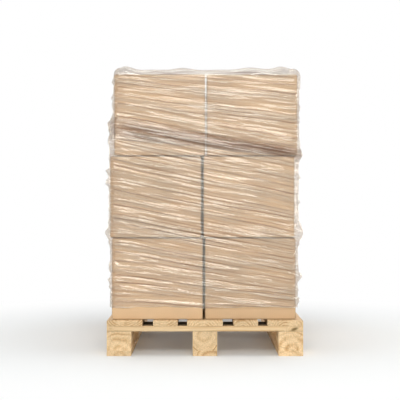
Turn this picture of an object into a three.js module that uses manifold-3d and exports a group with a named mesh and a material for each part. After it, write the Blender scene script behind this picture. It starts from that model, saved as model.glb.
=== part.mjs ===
// A pallet load: a four-way block pallet, three layers of kraft cartons and a sleeve of stretch film.
// Millimetres, +Z up. X runs across the short end of the pallet, and the front end faces -Y.
// The origin is on the floor, in the middle of the pallet.
import * as THREE from "three";
import { ParametricGeometry } from "three/addons/geometries/ParametricGeometry.js";
import { mergeVertices } from "three/addons/utils/BufferGeometryUtils.js";
import Module from "manifold-3d";

// Pallet
const palletWidth = 800;
const palletLength = 1200;
const deckThickness = 22;
const stringerThickness = 22;
const bottomBoardThickness = 22;
const blockWidth = 100;
const blockLength = 145;
const blockHeight = 78;
const wideBoard = 145;
const narrowBoard = 100;
const narrowBoardDrift = 2.5; // the narrow boards are nailed a little to the right of their bay's middle
const sawnArris = 1.5; // bevel on the long edges of sawn wood

// Cartons
const cartonLength = 373; // across the pallet
const cartonDepth = 278; // along the pallet
const cartonHeight = 336;
const boardCaliper = 4.5; // corrugated board of the flaps
const panelFoldRadius = 3; // vertical edges
const flapFoldRadius = 4; // long edges of the top and the bottom
const flapSlit = 3; // between the two closed outer flaps
const flapEndStep = 1; // from the bend of a vertical edge to the raw end of a flap

// Stacking: two columns of cartons, each row with its own sideways shift and column gap, front row first
const frontSetback = 34; // of the left column, from the front end of the pallet
const rightColumnLag = 6; // the right column starts this much further back
const rowClearance = 2; // between a row and the one behind it in the other column
const layers = [
  {
    name: "bottom",
    centre: -4.5,
    forward: 0,
    rows: [
      { shift: 0, gap: 9 },
      { shift: 8, gap: 2 },
      { shift: -5, gap: 4 },
      { shift: 0, gap: 6 },
    ],
  },
  {
    name: "middle",
    centre: -10.5,
    forward: 5,
    rows: [
      { shift: 0, gap: 10 },
      { shift: 9, gap: 3 },
      { shift: 4, gap: 2 },
      { shift: 0, gap: 8 },
    ],
  },
  {
    name: "top",
    centre: 4,
    forward: -4,
    rows: [
      { shift: 0, gap: 7 },
      { shift: 1.5, gap: 7 },
      { shift: 3, gap: 7 },
      { shift: 4.5, gap: 7 },
    ],
  },
];

// Stretch film. Places round it are distances past the front left corner, along the front first.
const filmThickness = 1.5; // all turns together, with the air between them
const filmGap = 1; // clear of the cartons
const filmCornerRadius = 10;
const filmSlope = 0.07; // how fast it draws in from a layer that sticks out, per millimetre of height
// How far it hangs off each side, for the bottom, middle and top layer
const slack = { left: [0, 1, 1], right: [0, 8, 0], front: [0, 1, 1], rear: [1, 4, 3] };
const bareHeight = 50; // cartons left bare above the deck
// Long folds that the pull of the wrapping leaves, each swelling and dying along its length
const foldCount = 16; // one above another
const foldRise = 6;
const foldSwell = 640; // from one swelling of a fold to its next
const foldShift = 0.37; // of that length, from each fold to the one above
const foldCalm = 60; // the folds die out this near an upright corner
const foldFall = { short: 0.2, long: 0.12 }; // how steeply they run down to the right, at mid height
const rimHeight = 26; // puffed rim above the cartons
const rimWave = { rise: 3.5, pitch: 310 }; // rise and fall of the rim along the edge
const frontDip = 4; // the rim is lower and calmer along the front, between its puffs
const frontWave = 0.3; // of the wave that is left there
const frontPuffs = [
  { x: -335, rise: 10, wide: 40 },
  { x: -123, rise: 4, wide: 60 },
  { x: 185, rise: 7, wide: 70 },
  { x: 309, rise: 11, wide: 32 },
];
const rimWidth = 60; // from the wall to the inner foot of the rim
const lipWidth = 95; // flat lip that lies on the top cartons, inside the rim
const lipWave = { share: 0.22, pitch: 570 }; // of the lip's width, along its free edge
// Loose pockets at the upright corners: how far past the corner, height, reach, half height and half width
const pockets = [
  { corner: "frontLeft", past: -15, height: 939, reach: 14, tall: 28, wide: 50 },
  { corner: "frontLeft", past: -20, height: 880, reach: 10, tall: 24, wide: 55 },
  { corner: "frontLeft", past: -10, height: 709, reach: 11, tall: 11, wide: 30 },
  { corner: "frontLeft", past: -10, height: 492, reach: 10, tall: 16, wide: 35 },
  { corner: "frontRight", past: 12, height: 822, reach: 10, tall: 22, wide: 45 },
  { corner: "frontRight", past: 22, height: 505, reach: 20, tall: 34, wide: 60 },
  { corner: "frontRight", past: 15, height: 321, reach: 18, tall: 18, wide: 40 },
  { corner: "rearRight", past: -20, height: 730, reach: 10, tall: 30, wide: 60 },
  { corner: "rearRight", past: 15, height: 400, reach: 9, tall: 30, wide: 60 },
  { corner: "rearLeft", past: -20, height: 620, reach: 9, tall: 30, wide: 60 },
  { corner: "rearLeft", past: 15, height: 1010, reach: 8, tall: 26, wide: 50 },
];

// Sizes that follow
const stringerWidth = blockLength; // a stringer covers its row of blocks
const bottomBoardWidth = blockWidth; // a bottom board is as wide as its blocks
const blockFoot = bottomBoardThickness;
const stringerFoot = blockFoot + blockHeight;
const deckFoot = stringerFoot + stringerThickness;
const deckTop = deckFoot + deckThickness;
const loadTop = deckTop + layers.length * cartonHeight;
const layerFoot = (layer) => deckTop + layer * cartonHeight;
const flapSetback = panelFoldRadius + flapEndStep;
const rowPitch = cartonDepth + rightColumnLag + rowClearance;

const pine = new THREE.MeshStandardMaterial({ color: 0xdfc08c, roughness: 0.75, metalness: 0 });
const kraft = new THREE.MeshStandardMaterial({ color: 0xd0a674, roughness: 0.85, metalness: 0 });
const film = new THREE.MeshStandardMaterial({
  color: 0xeae5df,
  roughness: 0.2,
  metalness: 0,
  transparent: true,
  opacity: 0.4,
});

const wasm = await Module();
wasm.setup();

function solidFrom(geometry) {
  const bare = geometry.clone();
  bare.deleteAttribute("normal");
  bare.deleteAttribute("uv");
  const merged = mergeVertices(bare);
  return new wasm.Manifold(
    new wasm.Mesh({
      numProp: 3,
      vertProperties: merged.attributes.position.array,
      triVerts: new Uint32Array(merged.index.array),
    }),
  );
}

function geometryFrom(solid) {
  const mesh = solid.getMesh();
  const geometry = new THREE.BufferGeometry();
  geometry.setAttribute("position", new THREE.BufferAttribute(mesh.vertProperties, 3));
  geometry.setIndex(new THREE.BufferAttribute(mesh.triVerts, 1));
  geometry.computeVertexNormals();
  return geometry;
}

// Directions that an extrusion is laid along: the section's x, the section's y, then its length.
const alongX = new THREE.Matrix4().makeBasis(
  new THREE.Vector3(0, 1, 0),
  new THREE.Vector3(0, 0, 1),
  new THREE.Vector3(1, 0, 0),
);
const alongY = new THREE.Matrix4().makeBasis(
  new THREE.Vector3(-1, 0, 0),
  new THREE.Vector3(0, 0, 1),
  new THREE.Vector3(0, 1, 0),
);

// Extrudes a section by length, centred on its middle, and lays it along an axis.
function extruded(section, length, direction, curveSegments) {
  const geometry = new THREE.ExtrudeGeometry(section, {
    depth: length,
    bevelEnabled: false,
    curveSegments,
  });
  geometry.translate(0, 0, -length / 2);
  if (direction) geometry.applyMatrix4(direction);
  return geometry;
}

// Rectangle about the origin whose corners are bevelled by the sawn arris.
function sawnSection(width, height) {
  const x = width / 2;
  const y = height / 2;
  const section = new THREE.Shape();
  section.moveTo(x - sawnArris, -y);
  section.lineTo(x, -y + sawnArris);
  section.lineTo(x, y - sawnArris);
  section.lineTo(x - sawnArris, y);
  section.lineTo(-x + sawnArris, y);
  section.lineTo(-x, y - sawnArris);
  section.lineTo(-x, -y + sawnArris);
  section.lineTo(-x + sawnArris, -y);
  section.closePath();
  return section;
}

// Rectangle about the origin with round corners.
function roundedSection(width, height, radius) {
  const x = width / 2 - radius;
  const y = height / 2 - radius;
  const section = new THREE.Shape();
  section.absarc(x, y, radius, 0, Math.PI / 2);
  section.absarc(-x, y, radius, Math.PI / 2, Math.PI);
  section.absarc(-x, -y, radius, Math.PI, 1.5 * Math.PI);
  section.absarc(x, -y, radius, 1.5 * Math.PI, 2 * Math.PI);
  section.closePath();
  return section;
}

const load = new THREE.Group();

function place(parent, name, geometry, material, x, y, z) {
  const mesh = new THREE.Mesh(geometry, material);
  mesh.name = name;
  mesh.position.set(x, y, z);
  parent.add(mesh);
  return mesh;
}

function pallet() {
  const group = new THREE.Group();
  const columns = { left: -1, centre: 0, right: 1 };
  const rows = { front: -1, middle: 0, rear: 1 };
  const columnPitch = (palletWidth - blockWidth) / 2;
  const supportPitch = (palletLength - blockLength) / 2;

  const blockShape = extruded(sawnSection(blockWidth, blockHeight), blockLength, alongY);
  const stringerShape = extruded(sawnSection(stringerWidth, stringerThickness), palletWidth, alongX);
  const bottomShape = extruded(sawnSection(bottomBoardWidth, bottomBoardThickness), palletLength, alongY);
  for (const [column, side] of Object.entries(columns)) {
    place(group, `bottom_board_${column}`, bottomShape, pine, side * columnPitch, 0, bottomBoardThickness / 2);
    for (const [row, end] of Object.entries(rows)) {
      const height = blockFoot + blockHeight / 2;
      place(group, `block_${row}_${column}`, blockShape, pine, side * columnPitch, end * supportPitch, height);
    }
  }
  for (const [row, end] of Object.entries(rows)) {
    place(group, `stringer_${row}`, stringerShape, pine, 0, end * supportPitch, stringerFoot + stringerThickness / 2);
  }

  // Wide boards at both edges and in the middle, and a narrow one in each bay between them.
  const edgeBoard = (palletWidth - wideBoard) / 2;
  const bayMiddle = palletWidth / 4 - wideBoard / 4;
  const deck = {
    left_edge: { x: -edgeBoard, width: wideBoard },
    left_narrow: { x: -bayMiddle + narrowBoardDrift, width: narrowBoard },
    centre: { x: 0, width: wideBoard },
    right_narrow: { x: bayMiddle + narrowBoardDrift, width: narrowBoard },
    right_edge: { x: edgeBoard, width: wideBoard },
  };
  for (const [name, board] of Object.entries(deck)) {
    const shape = extruded(sawnSection(board.width, deckThickness), palletLength, alongY);
    place(group, `deck_board_${name}`, shape, pine, board.x, 0, deckFoot + deckThickness / 2);
  }
  return group;
}

// A closed carton: a sleeve with round folds, and outer flaps that meet in a slit along its length.
function cartonShape() {
  const foldSegments = 1; // three.js draws an arc with twice as many
  const panels = extruded(
    roundedSection(cartonLength, cartonDepth, panelFoldRadius),
    cartonHeight - 2 * boardCaliper,
    null,
    foldSegments,
  );
  const flaps = extruded(
    roundedSection(cartonDepth, cartonHeight, flapFoldRadius),
    cartonLength - 2 * flapSetback,
    alongX,
    foldSegments,
  );
  const slit = new THREE.BoxGeometry(cartonLength, flapSlit, 2 * boardCaliper);
  const topSlit = slit.clone().translate(0, 0, cartonHeight / 2);
  const bottomSlit = slit.clone().translate(0, 0, -cartonHeight / 2);
  return geometryFrom(
    solidFrom(flaps).subtract(solidFrom(topSlit)).subtract(solidFrom(bottomSlit)).add(solidFrom(panels)),
  );
}

// Places the cartons and returns the box of each layer.
function cartons() {
  const group = new THREE.Group();
  const shape = cartonShape();
  const boxes = layers.map((layer, level) => {
    const box = new THREE.Box3();
    layer.rows.forEach((row, index) => {
      for (const side of [-1, 1]) {
        const setback = frontSetback + (side < 0 ? 0 : rightColumnLag);
        const front = -palletLength / 2 + setback - layer.forward + index * rowPitch;
        const x = layer.centre + row.shift + (side * (cartonLength + row.gap)) / 2;
        const name = `carton_${layer.name}_row${index + 1}_${side < 0 ? "left" : "right"}`;
        const z = layerFoot(level) + cartonHeight / 2;
        const carton = place(group, name, shape, kraft, x, front + cartonDepth / 2, z);
        carton.updateMatrix();
        box.union(new THREE.Box3().setFromBufferAttribute(shape.attributes.position).translate(carton.position));
      }
    });
    return box;
  });
  return { group, boxes };
}

// The sleeve of film: rings round the load, one above another, joined into a thin closed wall.
// A ring follows the boxes of the layers and runs down to the right on every side, along the folds. The wall
// ends in a puffed rim and a lip folded over the top.
function stretchFilm(boxes) {
  const sharpest = filmCornerRadius - panelFoldRadius;
  const clearance = filmGap + sharpest * (1 - Math.SQRT1_2); // keeps the round corner off the cartons' corners
  const standoff = clearance + filmThickness / 2;
  const lipHeight = loadTop + filmGap + filmThickness / 2;
  const hem = deckTop + bareHeight;
  const wallTop = loadTop - flapFoldRadius;

  // The sides in the order that a ring passes them, each with the corner that it starts at and the next one.
  const middleSize = boxes[1].getSize(new THREE.Vector3());
  const sides = [
    { name: "front", corner: "frontLeft", kind: "short", heading: [1, 0], start: [-1, -1], end: [1, -1] },
    { name: "right", corner: "frontRight", kind: "long", heading: [0, 1], start: [1, -1], end: [1, 1] },
    { name: "rear", corner: "rearRight", kind: "short", heading: [-1, 0], start: [1, 1], end: [-1, 1] },
    { name: "left", corner: "rearLeft", kind: "long", heading: [0, -1], start: [-1, 1], end: [-1, -1] },
  ];
  let girth = 0;
  for (const side of sides) {
    side.length = side.kind === "short" ? middleSize.x : middleSize.y;
    side.from = girth;
    girth += side.length;
  }

  // One ring's places: steps that crowd towards the corners along each side, and an arc round each corner.
  const sideSteps = { long: 15, short: 14 };
  const cornerSteps = 2;
  const places = [];
  for (const side of sides) {
    const steps = sideSteps[side.kind];
    for (let i = 0; i < steps; i++) {
      const share = i / steps;
      const along = THREE.MathUtils.lerp(share, (1 - Math.cos(Math.PI * share)) / 2, 0.6);
      places.push({ side, along, bend: 0 });
    }
    for (let i = 0; i < cornerSteps; i++) places.push({ side, along: 1, bend: i / cornerSteps });
  }
  for (const place of places) {
    place.round = place.side.from + place.along * place.side.length;
    place.run = (1 - 2 * place.bend) * (place.along - 0.5) * place.side.length;
    place.toCorner = Math.min(place.along, 1 - place.along) * place.side.length;
    place.fall = foldFall[place.side.kind];
  }

  // The wall's middle surface, from its free bottom edge to the free edge of the lip: out is how far it stands
  // off the cartons, up its height, puff how much of the rim's own shape it takes, and fold its crest if any.
  const stations = [];
  for (let i = 0; i <= 2 * foldCount; i++) {
    const up = THREE.MathUtils.lerp(hem, wallTop, i / (2 * foldCount));
    stations.push({ out: standoff, up, puff: 0, lip: 0, fold: i % 2 ? (i + 1) / 2 : 0 });
  }
  const rimSteps = 7;
  for (let i = 1; i <= rimSteps; i++) {
    const t = i / rimSteps;
    const puff = Math.sin(Math.PI * Math.min(t, 1) ** 0.72) ** 0.85 || 0;
    const out = standoff - (rimWidth * (1 - Math.cos(Math.PI * t))) / 2;
    stations.push({ out, up: lipHeight + rimHeight * puff, puff, lip: 0, fold: 0 });
  }
  stations.push({ out: standoff - rimWidth - lipWidth, up: lipHeight, puff: 0, lip: lipWidth, fold: 0 });

  // Half the thickness to either side of the middle surface, across the way it runs.
  const across = stations.map((station, i) => {
    const before = stations[Math.max(0, i - 1)];
    const after = stations[Math.min(stations.length - 1, i + 1)];
    const run = new THREE.Vector2(after.out - before.out, after.up - before.up).normalize();
    return new THREE.Vector2(run.y, -run.x).multiplyScalar(filmThickness / 2);
  });

  // How far the outermost carton reaches on one side at a height, with the film drawn in above and below it.
  const faces = {
    left: (box) => -box.min.x,
    right: (box) => box.max.x,
    front: (box) => -box.min.y,
    rear: (box) => box.max.y,
  };
  function reach(height, side) {
    return Math.max(
      ...boxes.map((box, level) => {
        const away = Math.max(0, box.min.z - height, height - box.max.z);
        return faces[side](box) + slack[side][level] - filmSlope * away;
      }),
    );
  }

  function foldAt(place, fold) {
    const swell = Math.sin(2 * Math.PI * (place.round / foldSwell + foldShift * fold));
    return foldRise * Math.max(0, swell) * (1 - Math.exp(-((place.toCorner / foldCalm) ** 2)));
  }

  function pocketAt(place, height) {
    return pockets.reduce((sum, pocket) => {
      const corner = sides.find((side) => side.corner === pocket.corner).from + pocket.past;
      const past = place.round - corner;
      const nearest = past - girth * Math.round(past / girth);
      const off = Math.abs(nearest / pocket.wide) ** 2.4 + Math.abs((height - pocket.height) / pocket.tall) ** 2.8;
      return sum + pocket.reach * Math.exp(-off);
    }, 0);
  }

  function rimExtra(place, x) {
    const wave = rimWave.rise * Math.sin((2 * Math.PI * place.round) / rimWave.pitch);
    if (place.side.name !== "front" || place.bend > 0) return wave;
    const puff = (sum, one) => sum + one.rise * Math.exp(-(((x - one.x) / one.wide) ** 2));
    return frontWave * wave - frontDip + frontPuffs.reduce(puff, 0);
  }

  function ringPoint(station, offset, place, target) {
    const share = THREE.MathUtils.clamp((station.up - hem) / (wallTop - hem), 0, 1);
    const fall = place.fall * Math.sin(Math.PI * share) ** 0.7 || 0;
    const height = station.up + offset.y - fall * place.run;
    const lipShare = 1 + lipWave.share * Math.sin((2 * Math.PI * place.round) / lipWave.pitch);
    const out = station.out + offset.x + station.lip * (1 - lipShare);
    const radius = filmCornerRadius + offset.x;
    const cornerPoint = ([x, y]) => {
      const reachX = reach(height, x > 0 ? "right" : "left");
      const reachY = reach(height, y > 0 ? "rear" : "front");
      return new THREE.Vector2(x * (reachX + out), y * (reachY + out));
    };
    const end = cornerPoint(place.side.end);
    const heading = new THREE.Vector2(...place.side.heading);
    const normal = new THREE.Vector2(heading.y, -heading.x);
    const point = new THREE.Vector2();
    if (place.bend > 0) {
      const angle = (place.bend * Math.PI) / 2;
      const [endX, endY] = place.side.end;
      normal.multiplyScalar(Math.cos(angle)).addScaledVector(heading, Math.sin(angle));
      point.set(end.x - endX * radius, end.y - endY * radius).addScaledVector(normal, radius);
    } else {
      const first = cornerPoint(place.side.start).addScaledVector(heading, radius);
      point.lerpVectors(first, end.addScaledVector(heading, -radius), place.along);
    }
    const inWall = station.puff === 0 && station.lip === 0;
    const loose = (station.fold ? foldAt(place, station.fold) : 0) + (inWall ? pocketAt(place, height) : 0);
    point.addScaledVector(normal, loose);
    target.set(point.x, point.y, height + station.puff * rimExtra(place, point.x));
  }

  // Round the load with u, and with v up the outside of the wall, over the lip and down the inside.
  const wallRings = stations.length;
  const surface = (u, v, target) => {
    const place = places[Math.round(u * places.length) % places.length];
    const ring = Math.round(v * 2 * wallRings) % (2 * wallRings);
    const outside = ring < wallRings;
    const index = outside ? ring : 2 * wallRings - 1 - ring;
    const offset = across[index].clone().multiplyScalar(outside ? 1 : -1);
    ringPoint(stations[index], offset, place, target);
  };
  return new ParametricGeometry(surface, places.length, 2 * wallRings);
}

load.add(pallet());
const stack = cartons();
load.add(stack.group);
place(load, "stretch_film", geometryFrom(solidFrom(stretchFilm(stack.boxes))), film, 0, 0, 0);

export default load;
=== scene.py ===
import math
import random

import bmesh
import bpy
import numpy as np
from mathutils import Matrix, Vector


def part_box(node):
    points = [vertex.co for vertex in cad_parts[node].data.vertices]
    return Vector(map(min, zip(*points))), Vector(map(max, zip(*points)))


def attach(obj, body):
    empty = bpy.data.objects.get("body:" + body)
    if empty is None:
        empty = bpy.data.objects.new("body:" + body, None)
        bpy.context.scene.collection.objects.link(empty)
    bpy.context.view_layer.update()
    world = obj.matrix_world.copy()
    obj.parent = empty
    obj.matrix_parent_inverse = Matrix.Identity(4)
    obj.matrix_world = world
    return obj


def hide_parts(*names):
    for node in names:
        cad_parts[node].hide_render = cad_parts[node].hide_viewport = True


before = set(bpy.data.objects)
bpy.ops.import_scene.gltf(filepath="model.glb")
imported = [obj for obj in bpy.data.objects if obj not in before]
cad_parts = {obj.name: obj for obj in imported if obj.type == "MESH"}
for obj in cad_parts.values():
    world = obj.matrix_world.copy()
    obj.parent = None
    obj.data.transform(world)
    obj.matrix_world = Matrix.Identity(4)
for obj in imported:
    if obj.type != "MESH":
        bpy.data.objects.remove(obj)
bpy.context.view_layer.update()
scene = bpy.context.scene
scene.view_settings.view_transform = "Standard"
scene.cycles.transparent_max_bounces = 32  # at a corner a line of sight goes through many turns of film
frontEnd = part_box("stringer_front")[0].y  # the short end of the pallet that faces the camera

# The cartons' outer box, layer by layer from the deck up.
layerBoxes = []
for layerName in ("bottom", "middle", "top"):
    corners = [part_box(n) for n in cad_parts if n.startswith(f"carton_{layerName}_")]
    layerBoxes.append((np.min([c[0] for c in corners], axis=0), np.max([c[1] for c in corners], axis=0)))
deckTop = layerBoxes[0][0][2]
loadTop = layerBoxes[2][1][2]

cameraSettings = {
    "distance": 4.0,  # from the lens to the front end of the pallet
    "height": 0.631,
    "sideways": -0.014,
    "metresPerPixel": 0.00407,  # at the front end of the pallet
    "pictureWidth": 400,
    "offset": (1.5, 1.0),  # pixels that the level line of sight lies right of and below the middle
}


def makeCamera(settings):
    data = bpy.data.cameras.new("camera")
    data.sensor_width = 36
    pixels = settings["pictureWidth"]
    data.lens = data.sensor_width * settings["distance"] / (settings["metresPerPixel"] * pixels)
    data.shift_x = -settings["offset"][0] / pixels
    data.shift_y = settings["offset"][1] / pixels
    data.clip_end = 100
    camera = bpy.data.objects.new("camera", data)
    camera.location = (settings["sideways"], frontEnd - settings["distance"], settings["height"])
    camera.rotation_euler = (math.radians(90), 0, 0)
    scene.collection.objects.link(camera)
    scene.camera = camera


makeCamera(cameraSettings)
print("camera made")


def linear(value):  # an sRGB hex colour as linear red, green, blue and alpha
    channels = [int(value[i : i + 2], 16) / 255 for i in (1, 3, 5)]
    return (*[c / 12.92 if c <= 0.04045 else ((c + 0.055) / 1.055) ** 2.4 for c in channels], 1.0)


def addNode(tree, kind, inputs=None, **settings):
    node = tree.nodes.new("ShaderNode" + kind)
    for name, value in settings.items():
        setattr(node, name, value)
    for key, value in (inputs or {}).items():
        if isinstance(value, bpy.types.NodeSocket):
            tree.links.new(value, node.inputs[key])
        else:
            node.inputs[key].default_value = value
    return node


def setStops(rampNode, stops):  # each stop is its place and its grey level
    elements = rampNode.color_ramp.elements
    while len(elements) < len(stops):
        elements.new(0.5)
    for element, (place, level) in zip(elements, stops):
        element.position = place
        element.color = (level, level, level, 1)


def startMaterial(name):
    material = bpy.data.materials.new(name)
    material.use_nodes = True
    tree = material.node_tree
    tree.nodes.clear()
    output = addNode(tree, "OutputMaterial")
    place = addNode(tree, "TexCoord").outputs["Object"]
    return material, tree, output, place


def paint(node, material):
    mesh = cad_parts[node].data
    mesh.materials.clear()
    mesh.materials.append(material)


def finishPiece(name, bm, material):
    mesh = bpy.data.meshes.new(name)
    bm.to_mesh(mesh)
    bm.free()
    mesh.materials.append(material)
    piece = bpy.data.objects.new(name, mesh)
    scene.collection.objects.link(piece)
    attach(piece, "root")
    return piece


timber = {
    "earlywood": "#E6C99F",
    "latewood": "#B5874F",
    "knot": "#7A6237",
    "check": "#7A5230",
    "ringPitch": {"block": 0.026, "board": 0.0095},  # the blocks are fast-grown, with wide rings
    "paintedCornerShade": {"block": -0.3, "board": 0.0, "stringer": 0.85},  # painted shade in the closest corners, painted bounced light below 0
    "cornerReach": 0.12,
    "roughness": 0.7,
    "lateGloss": 0.12,  # how much smoother the hard latewood saws
    "pithBelow": 0.055,  # for boards sawn from the side of a log
    "sway": (0.03, 0.03, 0),  # how far the rings stray from round
    "clouds": (14, 14, 1.6),  # paler and darker patches to the metre, across and along the log
    "fibres": (420, 420, 9),  # likewise
    "crumbs": 170.0,  # torn fibres to the metre on the cut ends
    "bump": 0.0008,
}

# Where the pith of each log lies in the front end of its piece, how many drying checks run out from it, the
# radius of a dark ring, how strong the rings and how light the wood are, and the knots: each is its middle,
# half widths, tilt and depth of colour, and a half width of 9 takes it right through the piece.
timberPieces = {
    "block_front_left": {"pith": (-0.346, 0, 0.018), "tone": 1.03},
    "block_front_centre": {"pith": (0.0, 0, 0.086), "darkRing": 0.067, "rings": 0.45, "tone": 0.89},
    "block_front_right": {"pith": (0.356, 0, 0.022), "checks": 11, "tone": 1.13},
    "bottom_board_left": {"pith": (-0.345, 0, -0.006), "tone": 1.05},
    "bottom_board_centre": {"pith": (0.03, 0, -0.03)},
    "bottom_board_right": {
        "pith": (0.340, 0, -0.025), "tone": 1.12, "knots": [((0, 0.23, 0.012), (9, 0.012, 0.006), 0, 0.8)],
    },
    "deck_board_left_edge": {
        "pith": (-0.325, 0, 0.183), "rings": 1.5, "knots": [((0, -0.31, 0.137), (9, 0.013, 0.008), 0, 0.8)],
    },
    "deck_board_left_narrow": {"pith": (-0.172, 0, 0.196), "rings": 1.2},
    "deck_board_centre": {"pith": (-0.012, 0, 0.096)},
    "deck_board_right_narrow": {"pith": (0.150, 0, 0.106)},
    "deck_board_right_edge": {"pith": (0.335, 0, 0.088)},
    "stringer_front": {
        "knots": [
            ((0.364, 0, 0.109), (0.019, 9, 0.0075), -24, 1),
            ((-0.385, 0, 0.112), (0.006, 9, 0.006), 0, 0.15),
        ],
    },
    "block_middle_left": {"knots": [((0, -0.02, 0.055), (9, 0.014, 0.010), 0, 0.8)]},
    "block_rear_right": {"knots": [((0, 0.52, 0.048), (9, 0.012, 0.009), 0, 0.8)]},
}


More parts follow.
